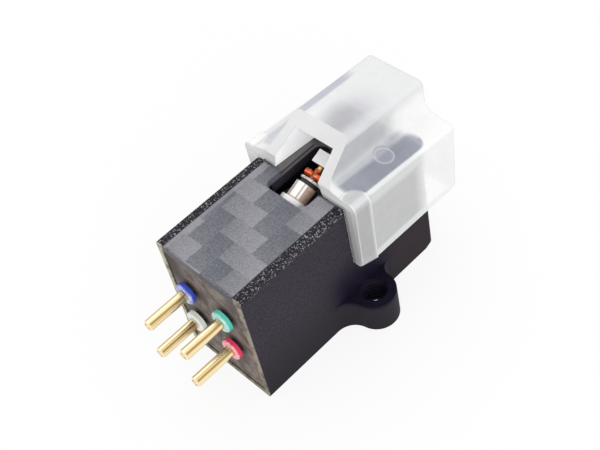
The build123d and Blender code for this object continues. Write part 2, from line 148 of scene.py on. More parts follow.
class Shader:
    """Node tree of a material or the world, and the calls that fill it."""

    def __init__(self, owner: Union[bpy.types.Material, bpy.types.World],
                 output: str = "ShaderNodeOutputMaterial") -> None:
        """Empties the owner's tree and gives it its output.

        Args:
            owner: the material or the world.
            output: Blender's name of the output node.
        """
        self.owner = owner
        owner.use_nodes = True
        self.tree = owner.node_tree
        self.tree.nodes.clear()
        self.output = self.tree.nodes.new(output)

    @classmethod
    def named(cls, name: str) -> "Shader":
        """Tree of a new material."""
        return cls(bpy.data.materials.new(name))

    def node(self, kind: str, settings: Optional[Mapping[str, Any]] = None,
             sockets: Optional[Mapping[Union[str, int], Link]] = None) -> bpy.types.Node:
        """Adds a node.

        Args:
            kind: Blender's name of the node's type.
            settings: its own options, set first.
            sockets: values or links of its inputs.

        Returns:
            The node.
        """
        made = self.tree.nodes.new(kind)
        for key, value in (settings or {}).items():
            setattr(made, key, value)
        for key, value in (sockets or {}).items():
            self.feed(made.inputs[key], value)
        return made

    def feed(self, socket: bpy.types.NodeSocket, value: Link) -> None:
        """Links or sets one input.

        Args:
            socket: the input.
            value: what goes in.
        """
        if isinstance(value, Value):
            value = value.socket
        if isinstance(value, bpy.types.NodeSocket):
            self.tree.links.new(value, socket)
        elif socket.type == "RGBA" and len(value) == 3:
            socket.default_value = (*value, 1.0)
        else:
            socket.default_value = value

    def math(self, operation: str, *terms: Number) -> Value:
        """Result of a Math node with this operation and these inputs."""
        made = self.node("ShaderNodeMath", {"operation": operation}, dict(enumerate(terms)))
        return Value(self, made.outputs[0])

    def most(self, first: Value, *others: Number) -> Value:
        """Greatest of some numbers.

        Args:
            first: one of them.
            others: the rest.

        Returns:
            The greatest.
        """
        for other in others:
            first = self.math("MAXIMUM", first, other)
        return first

    def capped(self, value: Value) -> Value:
        """The value, and one where it is greater."""
        return self.math("MINIMUM", value, 1.0)

    def length(self, first: Value, second: Value) -> Value:
        """Length of a flat vector with these parts."""
        return self.math("SQRT", first * first + second * second)

    def millimetres(self) -> tuple[Value, Value, Value]:
        """Place on the piece as three numbers, in millimetres."""
        parts = self.node("ShaderNodeSeparateXYZ", None, {0: self.stretch((1 / MM,) * 3)})
        return tuple(Value(self, parts.outputs[axis]) for axis in "XYZ")

    def stretch(self, scale: Sequence[float]) -> bpy.types.NodeSocket:
        """Place on the piece, with each axis scaled by its factor."""
        place = self.node("ShaderNodeTexCoord").outputs["Object"]
        return self.node("ShaderNodeMapping", None, {"Vector": place, "Scale": scale}).outputs[0]

    def noise(self, size: float, detail: float = 2.0, rough: float = 0.6,
              pull: Point = (1.0, 1.0, 1.0)) -> Value:
        """Cloudy noise.

        Args:
            size: width of its features, in millimetres.
            detail: octaves.
            rough: strength of the finer octaves.
            pull: factor along each axis, under one to draw the features out.

        Returns:
            The noise, about zero to one.
        """
        scale = [factor / (size * MM) for factor in pull]
        made = self.node("ShaderNodeTexNoise", None, {
            "Vector": self.stretch(scale), "Scale": 1.0, "Detail": detail, "Roughness": rough})
        return Value(self, made.outputs[0])

    def mix(self, factor: Number, first: Link, second: Link) -> bpy.types.NodeSocket:
        """Blend of two colours, where the factor is the share of the second."""
        made = self.node("ShaderNodeMix", {"data_type": "RGBA"}, {0: factor, 6: first, 7: second})
        return made.outputs[2]

    def bump(self, height: Number, depth: float, strength: float) -> bpy.types.NodeSocket:
        """Normal bent by a relief of zero to one, with the depth of one in millimetres."""
        made = self.node("ShaderNodeBump", None,
                         {"Height": height, "Distance": depth * MM, "Strength": strength})
        return made.outputs[0]

    def surface(self, **sockets: Link) -> bpy.types.Material:
        """Ends the material in a principled surface; its inputs have underscores for spaces."""
        named = {key.replace("_", " "): value for key, value in sockets.items()}
        return self.end(self.node("ShaderNodeBsdfPrincipled", None, named))

    def end(self, last: bpy.types.Node) -> Union[bpy.types.Material, bpy.types.World]:
        """Links the last node to the output, and gives back the tree's owner."""
        self.tree.links.new(last.outputs[0], self.output.inputs["Surface"])
        return self.owner


@dataclass(frozen=True)
class SlopingAxis:
    """Axis of the generator and the cantilever, which rises to the stylus."""

    pivot_y: float = 0.46
    pivot_z: float = 12.8
    angle: float = 23.0

    def reach(self, along: Value, up: Value) -> Value:
        """Distance along the axis from the pivot."""
        lean = math.radians(self.angle)
        return (along - self.pivot_y) * math.cos(lean) + (up - self.pivot_z) * math.sin(lean)

    def level(self, along: Value, up: Value) -> Value:
        """Height over the axis, square to it."""
        lean = math.radians(self.angle)
        return (up - self.pivot_z) * math.cos(lean) - (along - self.pivot_y) * math.sin(lean)

    def frame(self) -> Matrix:
        """Frame of the axis, in millimetres."""
        lift = Matrix.Rotation(math.radians(self.angle), 4, "X")
        return Matrix.Translation((0, self.pivot_y, self.pivot_z)) @ lift


def darker(colour: Colour, share: float) -> Colour:
    """A share of a colour."""
    return tuple(channel * share for channel in colour)


class Finish(ABC):
    """A surface finish that can make its material."""

    @abstractmethod
    def material(self) -> bpy.types.Material:
        """Material of this finish."""


@dataclass(frozen=True)
class HousingPaint(Finish):
    """Black moulding: grained walls, crinkled rails with painted glints, rear rim with wear, pale
    ledge by the window, painted shade low down, at the front end and above the ears.
    """

    deck_z: float
    rear_y: float
    window_half: float
    base: Colour = (0.054, 0.047, 0.063)
    deep_share: float = 0.41
    nook_shade: Colour = (0.008, 0.0055, 0.018)
    nook_reach: Band = (1.8, 4.9)
    nook_top: Band = (4.0, 9.0)
    nook_foot: Band = (2.7, 3.2)
    front: Colour = (0.030, 0.0225, 0.0260)
    front_y: Band = (2.4, 4.4)
    glint_colour: Colour = (0.46, 0.46, 0.50)
    wear_and_shade: Colour = (0.36, 0.32, 0.26)
    edge: Colour = (0.62, 0.60, 0.43)
    edge_x: Band = (-4.7, -4.4)
    ledge: Colour = (0.232, 0.224, 0.220)
    ledge_start: Band = (-0.9, -0.6)
    ledge_side: Band = (4.9, 5.05)
    window_end: Band = (3.4, 4.2)
    groove_out: float = 0.34

    def material(self) -> bpy.types.Material:
        """Material of the painted moulding."""
        shader = Shader.named("housing_paint")
        across, along, up = shader.millimetres()
        rail = up.above(self.deck_z + 0.02, self.deck_z + 0.12)
        fine = shader.noise(0.11, 3.0)
        crinkle = shader.noise(0.34)
        glints = shader.noise(0.30, 3.0, 0.65).near(0.5, 0.008, 0.03)
        glints = glints * shader.noise(0.26).above(0.49, 0.58)
        deep = darker(self.base, self.deep_share)
        colour = shader.mix(rail, self.walls(shader, fine, along, up), deep)
        # painted glints on the crinkled rails
        colour = shader.mix(rail * glints, colour, self.glint_colour)
        rim = along.below(self.rear_y + 0.02, self.rear_y + 0.16)
        wear = rim * (0.3 + shader.noise(0.9, 4.0, 0.7).above(0.34, 0.58) * 0.7)
        wear_and_shade = shader.mix(across.above(*self.edge_x), self.edge, self.wear_and_shade)
        colour = shader.mix(wear, colour, wear_and_shade)
        colour = shader.mix(self.margin(shader, across, along, up), colour, self.ledge)
        return shader.surface(
            Base_Color=colour,
            Roughness=0.52 - rail * 0.14 + fine * 0.1,
            Specular_IOR_Level=0.06,
            Normal=shader.bump(rail * crinkle + (1 - rail) * fine * 0.22, 0.12, 0.8),
        )

    def walls(self, shader: Shader, fine: Value, along: Value, up: Value) -> bpy.types.NodeSocket:
        """Colour of the walls, with painted shade: darker low down, at the front end and above the
        ears.

        Args:
            shader: the tree that asks.
            fine: the fine grain.
            along: place along the housing.
            up: height.

        Returns:
            The colour.
        """
        deep = darker(self.base, self.deep_share)
        low = shader.most(up.below(0.0, 9.0), along.above(3.0, 8.5))
        # painted shade above the ears
        nook_shade = along.size().below(*self.nook_reach) * up.below(*self.nook_top)
        nook_shade = nook_shade * up.above(*self.nook_foot)
        shade = shader.mix(low, shader.mix(fine.above(0.3, 0.75), self.base, deep), deep)
        # painted shade at the front end of the walls
        shade = shader.mix(along.above(*self.front_y) * 0.8, shade, self.front)
        return shader.mix(nook_shade * 0.85, shade, self.nook_shade)

    def margin(self, shader: Shader, across: Value, along: Value, up: Value) -> Value:
        """Pale ledge of the deck, with the painted shade of a groove and a darker strip along the
        window.

        Args:
            shader: the tree that asks.
            across: place across the housing.
            along: place along it.
            up: height.

        Returns:
            The mask.
        """
        ledge = along.above(*self.ledge_start) * up.above(self.deck_z - 0.03, self.deck_z - 0.01)
        ledge = ledge * across.size().below(*self.ledge_side)
        sill = across.size() - self.window_half
        beside = along.below(*self.window_end)
        # painted shade of a groove along the window's sides
        groove = sill.near(self.groove_out, 0.04, 0.14) * beside
        strip = sill.below(0.2, self.groove_out) * beside
        close = sill.below(1.2, 2.0) * beside
        ledge = ledge * (1 - groove * 0.9) * (1 - strip * 0.45) * (0.42 + close * 0.58)
        strokes = shader.noise(0.3, 3.0, 0.65, (1.0, 0.2, 1.0)).above(0.38, 0.64)
        return ledge * (0.82 + strokes * 0.18)


@dataclass(frozen=True)
class WovenPlate(Finish):
    """Woven carbon fibre under satin lacquer: a two-by-two twill of flat tows, with painted sheen
    and shade on the tows and painted shade along the plate's edges.
    """

    rear_y: float
    tow: float = 1.93
    start_x: float = -3.5
    start_y: float = -4.7
    half: float = 4.35
    border_x: Band = (-3.95, -3.80)
    repeat: float = 4.0
    float_length: float = 2.0
    drawn_out: float = 0.06
    light: Colour = (0.275, 0.270, 0.295)
    dark: Colour = (0.080, 0.087, 0.112)
    gap_shade: Colour = (0.03, 0.03, 0.035)

    def material(self) -> bpy.types.Material:
        """Material of the woven plate."""
        shader = Shader.named("woven_plate")
        across, along, _ = shader.millimetres()
        stray = (shader.noise(0.2, 3.0, 0.7) - 0.5) * 0.22
        column = (across - self.start_x) / self.tow + stray
        row = (along - self.start_y) / self.tow + stray
        weft = ((column.floor() + row.floor() + 1.0) % self.repeat) < self.float_length
        weft_run = (column + row.floor() + 1.0) % self.repeat
        warp_run = (row + column.floor() + 3.0) % self.repeat
        weft_swell = (1.0 - (weft_run - 1.0).size()).above(-0.1, 0.5)
        warp_swell = (1.0 - (warp_run - 1.0).size()).above(-0.1, 0.5)
        swell = weft * weft_swell + (1 - weft) * warp_swell
        weft_fibre = shader.noise(0.10, pull=(self.drawn_out, 1.0, 1.0))
        warp_fibre = shader.noise(0.10, pull=(1.0, self.drawn_out, 1.0))
        fibre = weft * weft_fibre + (1 - weft) * warp_fibre
        # painted sheen and shade: the tows that run across read lighter than those that run along,
        # and each darkens towards where it dives under the next
        tone_and_shade = weft * (0.42 + weft_run * 0.25) + (1 - weft) * (0.34 - warp_run * 0.15)
        tone_and_shade = tone_and_shade + (fibre - 0.5) * 0.5 + (shader.noise(0.16, 3.0, 0.8) - 0.5) * 2.0
        colour = shader.mix(tone_and_shade, self.dark, self.light)
        colour = shader.mix(across.below(*self.border_x) * 0.5, colour, self.light)
        # painted shade in the gaps at the plate's side edges and rear end
        end = along.below(self.rear_y + 0.02, self.rear_y + 0.05)
        edge = across.size().above(self.half - 0.16, self.half - 0.06)
        return shader.surface(
            Base_Color=shader.mix(shader.most(edge, end * 0.8), colour, self.gap_shade),
            Roughness=0.42 + fibre * 0.16,
            Normal=shader.bump(fibre * 0.5 + swell * 0.5, 0.03, 0.35),
            Specular_IOR_Level=0.4,
            Coat_Weight=0.12,
            Coat_Roughness=0.35,
        )


@dataclass(frozen=True)
class BoardFace(Finish):
    """Dull brown-grey board with stains, fine scratches, and painted shadow round the collars and
    at its top left under the rim.
    """

    pin_x: float
    pin_z: float
    pin_gap: float
    collar_shadow: Band = (0.9, 1.9)
    corner_x: Band = (-3.8, -1.4)
    corner_z: Band = (8.0, 10.6)
    base: Colour = (0.245, 0.198, 0.176)
    stain_and_shade: Colour = (0.062, 0.048, 0.046)
    scratch: Colour = (0.14, 0.12, 0.11)

    def material(self) -> bpy.types.Material:
        """Material of the board."""
        shader = Shader.named("terminal_board")
        across, _, up = shader.millimetres()
        out = across.size() - self.pin_x
        rise = ((up - self.pin_z).size() - self.pin_gap / 2).size()
        # painted shadow of the collars on the board, and of the rim at its top left
        collar_shadow = shader.length(out, rise).below(*self.collar_shadow)
        cloud = shader.noise(1.6, 4.0, 0.65)
        streak = shader.noise(0.35, 3.0, pull=(0.25, 1.0, 1.4))
        rim_shadow = across.below(*self.corner_x) * up.above(*self.corner_z)
        stain_and_shadow = shader.most(cloud.above(0.38, 0.62) * 0.8, collar_shadow * 0.7, rim_shadow)
        colour = shader.mix(stain_and_shadow, self.base, self.stain_and_shade)
        return shader.surface(
            Base_Color=shader.mix(streak.above(0.62, 0.8) * 0.4, colour, self.scratch),
            Roughness=0.62 + cloud * 0.2,
            Normal=shader.bump(streak, 0.03, 0.5),
        )


@dataclass(frozen=True)
class GuardPlace:
    """Place on the guard, measured from its own middle, rear end, shoulder and roof."""

    across: Value
    along: Value
    up: Value
    side: Value
    behind: Value
    crest: Value
    depth: Value


@dataclass(frozen=True)
class Frosted(Finish):
    """Milky plastic of the guard: thin walls let the dark housing through, edges stay pale with
    painted highlights; painted shadow and shade grey it over the deck, roof and flanks, painted
    light brightens its front and near left skirt, and a painted glow lights the left inner wall of
    the tunnel.
    """

    rear_y: float
    half: float
    shoulder_z: float
    shoulder_fall: float
    skirt_z: float
    rake: float
    roof_z: float
    roof_fall: float
    roof_half: float
    tunnel_half: float
    post_width: float
    mark: Point
    dome_r: float = 1.22
    dome_in: float = 0.15
    dome_y: float = 0.66
    seat_x: float = 4.36
    seat_end: float = 8.75
    seat_shift: float = 0.72
    seat_slack: float = 0.78
    seat_inner: Band = (0.5, 1.12)
    seat_outer: Band = (0.76, 1.02)
    faint_x: float = 3.2
    cut_rise: float = 0.3
    cut_edge: Band = (-0.06, -0.02)
    inside_end: Band = (12.1, 12.3)
    roof_depth: Band = (0.3, 1.6)
    bow_start: Band = (7.0, 9.4)
    base: Colour = (0.835, 0.84, 0.845)
    cut_face: Colour = (0.76, 0.76, 0.765)
    lit: Colour = (0.40, 0.40, 0.41)
    shadow: Colour = (0.68, 0.72, 0.84)
    bright: Colour = (0.97, 0.97, 0.965)
    haze_shade: Colour = (0.63, 0.635, 0.70)
    shade: Colour = (0.44, 0.45, 0.53)
    wall: float = 0.62
    thin: float = 0.37
    edge: float = 0.92

    def material(self) -> bpy.types.Material:
        """Material of the frosted guard."""
        shader = Shader.named("frosted_guard")
        at = self.place(shader)
        mist = shader.noise(0.9, 3.0)
        fine = shader.noise(0.07)
        seat = self.seat(shader, at) * (0.25 + at.across.above(-1.0, 1.0) * 0.75)
        cut = at.crest - at.behind * (self.rake + self.shoulder_fall) - self.cut_rise
        cut = cut.above(*self.cut_edge)
        rear = at.behind.below(0.02, 0.06) * (0.35 + at.crest.above(-1.2, -0.6) * 0.65)
        rear = shader.capped(cut + rear)
        roof = at.depth.below(*self.roof_depth)
        bow = at.behind.above(*self.bow_start)
        lane = 1 - at.across.above(1.5, 2.7) * at.depth.below(0.3, 0.6)
        near_left = at.across.below(-5.6, -5.0) * at.crest.above(-0.6, -0.3)
        brow = at.behind.below(0.5, 0.95) * at.crest.above(-0.7, -0.5) * at.side.below(4.7, 5.1)
        pale = shader.most(
            self.lines(shader, at), self.ring(shader, at), bow * (0.85 - seat * 0.6),
            roof * (0.8 - self.clear(at, lane) * 0.8), rear, brow, near_left * 0.8)
        tunnel = at.side.below(self.tunnel_half, self.tunnel_half + 0.08)
        tunnel = tunnel * at.depth.above(0.35, 0.5) * at.crest.above(-1.3, -1.2)
        tunnel = tunnel * at.behind.below(*self.inside_end)
        lining = at.side.below(self.half - 0.9, self.half - 0.7) * at.crest.below(-0.7, -0.5)
        lining = lining * at.behind.below(*self.inside_end)
        # painted glow on the left inner wall of the tunnel, which no lamp lights
        glowing_cheek = tunnel * at.across.below(-2.1, -1.9) * at.behind.below(4.5, 8.0) * (1 - rear)
        inside = shader.most(lining * (1 - tunnel), tunnel - glowing_cheek) * (1 - rear)
        post = at.behind.below(1.7, 1.9) * at.crest.below(-1.2, -0.5) * (1 - tunnel)
        cover = self.wall - seat * (self.wall - self.thin) + (mist - 0.5) * 0.10
        cover = cover + pale * (self.edge - self.wall)
        cover = (cover - post * 0.12 + glowing_cheek * 0.3) * (1 - inside * 0.85)
        colour = self.tint(shader, at, roof, lane)
        # painted light on the front and the near left skirt
        colour = shader.mix(shader.most(bow * (1 - roof), near_left), colour, self.bright)
        colour = shader.mix(seat, colour, self.shadow)
        return shader.surface(
            Base_Color=shader.mix(cut, colour, self.cut_face),
            Roughness=0.38 + (mist - 0.5) * 0.1,
            Alpha=cover,
            Emission_Color=shader.mix(glowing_cheek, BLACK, self.lit),
            Emission_Strength=1.0,
            IOR=1.38,
            Normal=shader.bump(fine, 0.006, 0.4),
        )

    def place(self, shader: Shader) -> GuardPlace:
        """Place on the guard in its own measures."""
        across, along, up = shader.millimetres()
        behind = along - self.rear_y
        crest = up + behind * self.shoulder_fall - self.shoulder_z
        depth = self.roof_z - behind * self.roof_fall - up
        return GuardPlace(across, along, up, across.size(), behind, crest, depth)

    def tint(self, shader: Shader, at: GuardPlace, roof: Value,
             lane: Value) -> bpy.types.NodeSocket:
        """Milky colour with painted shade: greyer on the roof, on the flanks and along the roof's
        left edge.

        Args:
            shader: the tree that asks.
            at: the place.
            roof: mask of the roof.
            lane: mask that leaves out the roof's right edge.

        Returns:
            The colour.
        """
        patch = at.across.above(-1.4, 1.2) * at.behind.below(6.0, 10.5)
        patch = patch * roof * (0.25 + lane * 0.45)
        flank = at.side.above(2.9, 3.1) * at.depth.above(0.35, 0.9) * at.depth.below(1.6, 2.6)
        flank = flank * at.behind.below(5.5, 10.0)
        far = at.across.above(-3.05, -2.9) * at.across.below(-2.3, -2.0)
        far = far * at.behind.below(8.5, 10.5) * roof
        grey = shader.most(patch, far * 0.8, flank * 0.52)
        return shader.mix(far * 0.6, shader.mix(grey, self.base, self.haze_shade), self.shade)

    def clear(self, at: GuardPlace, lane: Value) -> Value:
        """Where the roof lets the dark generator through, less so outside the lane."""
        clear = at.across.above(-1.6, 0.6) * at.behind.below(5.4, 8.6) * (0.3 + lane * 0.7)
        return clear * (0.72 + at.behind.above(1.6, 4.2) * 0.28)

    def ring(self, shader: Shader, at: GuardPlace) -> Value:
        """Pale ring on the round mark on the right shoulder, a painted highlight.

        Args:
            shader: the tree that asks.
            at: the place.

        Returns:
            The mask.
        """
        mark_x, mark_y, mark_r = self.mark
        spread = shader.length(at.across - mark_x, at.along - mark_y)
        ring = spread.near(mark_r, 0.04, 0.16) * 0.75 + spread.below(mark_r - 0.1, mark_r) * 0.2
        return ring * at.crest.above(-0.8, -0.7) * at.crest.below(0.3, 0.4)

    def seat(self, shader: Shader, at: GuardPlace) -> Value:
        """Where the shoulder lies on the dark deck: round in front, fainter in its inner half.

        Args:
            shader: the tree that asks.
            at: the place.

        Returns:
            The mask.
        """
        near = at.side - at.crest.above(-0.75, -0.6) * self.seat_shift
        end = shader.most(at.behind - self.seat_end, 0.0)
        off = near - self.seat_x
        outside = off.above(-0.2, 0.2)
        off = off * (self.seat_slack + outside * (1 - self.seat_slack))
        reach = shader.length(off, end)
        mask = reach.below(*self.seat_inner) * (1 - outside)
        mask = mask + reach.below(*self.seat_outer) * outside
        faint = near.near(self.faint_x, 0.35, 0.8) * at.behind.below(8.2, 9.3)
        mask = shader.most(mask, faint * 0.5) * at.behind.above(0.6, 1.15)
        mask = mask * self.dome(shader, at).above(self.dome_r - 0.15, self.dome_r)
        return mask * at.crest.above(-1.6, -1.4) * at.crest.below(0.3, 0.8)

    def dome(self, shader: Shader, at: GuardPlace) -> Value:
        """Distance from the middle of a post's rounded top."""
        return shader.length(at.side - (self.half - self.dome_in), at.behind - self.dome_y)

    def lines(self, shader: Shader, at: GuardPlace) -> Value:
        """Painted highlight lines along the edges of the roof, the shoulders, the skirts and the
        posts.

        Args:
            shader: the tree that asks.
            at: the place.

        Returns:
            The mask.
        """
        outer = at.side.above(self.half - 0.4, self.half - 0.2)
        crease = at.crest.near(-0.32, 0.06, 0.3)
        band = at.crest.above(-2.1, -1.2) * at.crest.below(-0.2, 0.1) * at.behind.above(1.9, 2.3)
        rib = at.behind.near(self.post_width, 0.04, 0.2)
        heel = at.behind.below(0.03, 0.2)
        skirt = (crease * 0.6 + band * 0.55 + rib * 0.7 + heel * 0.8) * outer
        hem = at.up.below(self.skirt_z + 0.7, self.skirt_z + 1.2) * at.behind.above(1.9, 2.1)
        ridge = at.side.near(self.roof_half - 0.05, 0.1, 0.5) * at.depth.below(0.3, 0.7)
        foot_highlight = at.crest.near(0.42, 0.08, 0.4) * at.side.above(2.9, 3.05)
        foot_highlight = foot_highlight * at.side.below(3.9, 4.3) * at.behind.below(6.5, 8.5)
        hook = self.dome(shader, at).near(self.dome_r, 0.03, 0.16) * at.crest.above(-0.5, -0.3)
        return shader.capped(skirt + hem * 0.75 + ridge * 0.6 + hook * 0.8 + foot_highlight * 0.5)


@dataclass(frozen=True)
class Metal(Finish):
    """Bare or plated metal with faint marks and cloudy patches: tarnished on most metals, a painted
    highlight on the copper turns.
    """

    name: str
    base: Colour
    roughness: float = 0.2
    mark: float = 0.12
    tarnish_and_sheen: Colour = (0.30, 0.22, 0.12)
    tarnish_and_sheen_share: float = 0.15
    patch: float = 0.8

    def material(self) -> bpy.types.Material:
        """Material of the metal."""
        shader = Shader.named(self.name)
        cloud = shader.noise(self.patch, 3.0)
        lines = shader.noise(self.mark)
        tarnish_and_sheen = cloud.above(0.5, 0.8) * self.tarnish_and_sheen_share
        return shader.surface(
            Base_Color=shader.mix(tarnish_and_sheen, self.base, self.tarnish_and_sheen),
            Metallic=1.0,
            Roughness=self.roughness + (lines - 0.5) * 0.16,
            Normal=shader.bump(lines, 0.008, 0.3),
        )


@dataclass(frozen=True)
class Moulded(Finish):
    """Plain moulded or coated material with a fine mottle."""

    name: str
    base: Colour
    shade: float = 0.75
    roughness: float = 0.45
    grain: float = 0.25
    depth: float = 0.01
    gloss: float = 0.5

    def material(self) -> bpy.types.Material:
        """Material of the moulding."""
        shader = Shader.named(self.name)
        cloud = shader.noise(self.grain, 3.0)
        deep = darker(self.base, self.shade)
        return shader.surface(
            Base_Color=shader.mix(cloud.above(0.3, 0.75), self.base, deep),
            Roughness=self.roughness + (cloud - 0.5) * 0.2,
            Normal=shader.bump(cloud, self.depth, 0.4),
            Specular_IOR_Level=self.gloss,
        )


@dataclass(frozen=True)
class PlatedPole(Finish):
    """Bright plate on the rear pole, with painted reflection streaks along it, painted brown shade
    on its right side, painted shade on its far edge and a painted highlight at its flange.
    """

    axis: SlopingAxis
    radius: float
    flange_u: float
    face_x: float = 0.838
    face_level: float = 0.546
    streaks: tuple[float, ...] = (-0.24, -0.86)
    plate: Colour = (1.0, 0.98, 0.96)
    streak: Colour = (0.50, 0.40, 0.33)
    wear_and_shade: Colour = (0.42, 0.25, 0.19)
    deep: Colour = (0.012, 0.009, 0.012)

    def material(self) -> bpy.types.Material:
        """Material of the pole."""
        shader = Shader.named("plated_pole")
        across, along, up = shader.millimetres()
        reach = self.axis.reach(along, up)
        lines = shader.noise(0.09, 3.0, 0.7, (1.0, 0.12, 1.0))
        turn = across * self.face_x - self.axis.level(along, up) * self.face_level
        turn = turn / self.radius + (lines - 0.5) * 0.1
        # painted brown shade on the right side, and painted reflection streaks
        brown = turn.above(-0.05, 0.05)
        dark_reflection_and_shade = shader.most(*(turn.near(spot, 0.02, 0.08) for spot in self.streaks))
        colour = shader.mix(dark_reflection_and_shade, self.plate, self.streak)
        sheen_and_shade = shader.mix(lines.above(0.4, 0.6), self.wear_and_shade, self.streak)
        colour = shader.mix(brown, colour, sheen_and_shade)
        # painted highlight at the flange, with a brown edge
        foot_highlight = reach.below(self.flange_u - 0.03, self.flange_u + 0.03)
        colour = shader.mix(foot_highlight, colour, self.plate)
        colour = shader.mix(reach.near(self.flange_u, 0.03, 0.12) * 0.7, colour, self.wear_and_shade)
        # painted shade on the far edge
        return shader.surface(
            Base_Color=shader.mix(turn.above(0.62, 0.82), colour, self.deep),
            Metallic=0.15,
            Roughness=0.24 + brown * 0.2,
            Normal=shader.bump(lines, 0.01, 0.4),
        )


@dataclass(frozen=True)
class WoundFormer(Finish):
    """Pale disc of the coil former, with copper wire round the hub ahead of it and painted shade
    between the wire's turns.
    """

    axis: SlopingAxis
    disc_end: float
    disc: Colour = (0.80, 0.77, 0.74)
    soil: Colour = (0.28, 0.24, 0.22)
    wire: Colour = (0.62, 0.14, 0.05)
    gap_shade: Colour = (0.16, 0.03, 0.01)

    def material(self) -> bpy.types.Material:
        """Material of the former."""
        shader = Shader.named("wound_former")
        _, along, up = shader.millimetres()
        hub = self.axis.reach(along, up).above(self.disc_end + 0.02, self.disc_end + 0.06)
        cloud = shader.noise(0.25, 3.0, 0.7)
        disc = shader.mix(cloud.above(0.5, 0.65), self.disc, self.soil)
        # painted shade between the wire's turns
        wire = shader.mix(shader.noise(0.08).above(0.45, 0.6), self.wire, self.gap_shade)
        return shader.surface(
            Base_Color=shader.mix(hub, disc, wire),
            Roughness=0.26 + cloud * 0.1,
            Metallic=hub * 0.7,
            Coat_Weight=0.5,
            Coat_Roughness=0.12,
        )


@dataclass(frozen=True)
class FacedPole(Finish):
    """Dark iron pole with a white top face, square to the sloping axis."""

    axis: SlopingAxis
    rise: float
    face: Colour = (0.97, 0.97, 0.96)
    soil: Colour = (0.80, 0.79, 0.77)
    iron: Colour = (0.05, 0.048, 0.047)

    def material(self) -> bpy.types.Material:
        """Material of the pole."""
        shader = Shader.named("faced_pole")
        _, along, up = shader.millimetres()
        top = self.axis.level(along, up).above(self.rise - 0.06, self.rise - 0.02)
        cloud = shader.noise(0.3, 3.0)
        face = shader.mix(cloud.above(0.45, 0.85) * 0.2, self.face, self.soil)
        return shader.surface(
            Base_Color=shader.mix(top, self.iron, face),
            Roughness=0.4 + cloud * 0.15,
        )


@dataclass(frozen=True)
class GiltPipe(Finish):
    """Gilt joint pipe, with painted shade and a rougher finish ahead of the front pole."""

    axis: SlopingAxis
    shade_u: float
    gilt: Colour = (0.80, 0.52, 0.18)
    dark_reflection_and_shade: Colour = (0.03, 0.028, 0.03)

    def material(self) -> bpy.types.Material:
        """Material of the pipe."""
        shader = Shader.named("gilt_pipe")
        _, along, up = shader.millimetres()
        # painted shade ahead of the front pole
        front = self.axis.reach(along, up).above(self.shade_u - 0.05, self.shade_u)
        lines = shader.noise(0.12)
        return shader.surface(
            Base_Color=shader.mix(front, self.gilt, self.dark_reflection_and_shade),
            Metallic=1.0,
            Roughness=0.2 + (lines - 0.5) * 0.16 + front * 0.3,
            Normal=shader.bump(lines, 0.008, 0.3),
        )


@dataclass(frozen=True)
class GoldPin(Finish):
    """Gold plate on a pin, with faint lines along it, painted brown reflection streaks and the
    painted shade of a dimple ring on its end.
    """

    name: str
    centre: tuple[float, float]
    radius: float
    end_y: float
    face_x: float = 0.84
    face_z: float = 0.54
    dimple: float = 0.52
    base: Colour = (0.96, 0.81, 0.50)
    mark: Colour = (0.40, 0.21, 0.025)
    marks: tuple[Point, ...] = ((-0.18, 0.34, 1.0), (0.36, 0.16, 0.55))

    def material(self) -> bpy.types.Material:
        """Material of the pin; each of its marks, a painted reflection streak, has a place, a width
        and a weight.
        """
        shader = Shader.named(self.name)
        across, along, up = shader.millimetres()
        out = across - self.centre[0]
        rise = up - self.centre[1]
        turn = (rise * self.face_z - out * self.face_x) / self.radius
        wander = (shader.noise(1.4, 2.0, 0.5, (1.0, 0.25, 1.0)) - 0.5) * 0.22
        # painted reflection streaks along the pin
        reflected_streaks = shader.most(turn.above(0.70, 0.92), turn.below(-1.0, -0.86) * 0.6)
        for place, width, weight in self.marks:
            reflected_streaks = shader.most(reflected_streaks, (turn + wander).near(place, 0.03, width) * weight)
        reach = shader.length(out, rise) / self.radius
        end = along.below(self.end_y + 0.02, self.end_y + 0.05)
        # painted shade ring on the end face
        brown = end * reach.near(self.dimple, 0.06, 0.2) + (1 - end) * reflected_streaks * 0.9
        lines = shader.noise(0.08, pull=(1.0, 0.05, 1.0))
        return shader.surface(
            Base_Color=shader.mix(brown, self.base, self.mark),
            Metallic=0.85,
            Roughness=0.2 + (lines - 0.5) * 0.16,
            Normal=shader.bump(lines, 0.006, 0.2),
        )


@dataclass(frozen=True)
class Collar(Finish):
    """Coloured collar, with a painted highlight on its face and front edge, and painted shade
    behind.
    """

    name: str
    base: Colour
    face_y: float
    back_y: float
    pale: Colour = (0.93, 0.94, 0.95)
    behind: Colour = (0.022, 0.018, 0.020)

    def material(self) -> bpy.types.Material:
        """Material of the collar."""
        shader = Shader.named(self.name)
        _, along, _ = shader.millimetres()
        cloud = shader.noise(0.4, 3.0)
        edge = along.near(self.face_y + 0.05, 0.03, 0.12)
        face = along.below(self.face_y + 0.1, self.face_y + 0.3)
        # painted highlight on the face and front edge
        sheen_and_shade = face * cloud.above(0.42, 0.66) * 0.45 + edge * 0.2
        colour = shader.mix(sheen_and_shade, self.base, self.pale)
        # painted shade on the neck and the back of the disc
        back = along.above(self.back_y - 0.03, self.back_y - 0.01)
        return shader.surface(
            Base_Color=shader.mix(back, colour, self.behind),
            Roughness=0.34 + (cloud - 0.5) * 0.2,
            Coat_Weight=0.3,
            Coat_Roughness=0.15,
        )


def dress(node: str, finish: Finish) -> None:
    """Gives a CAD node its finish.

    Args:
        node: name of the node.
        finish: the finish.
    """
    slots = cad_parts[node].data.materials
    slots.clear()
    slots.append(finish.material())
    LOG.info("dressed %s", node)


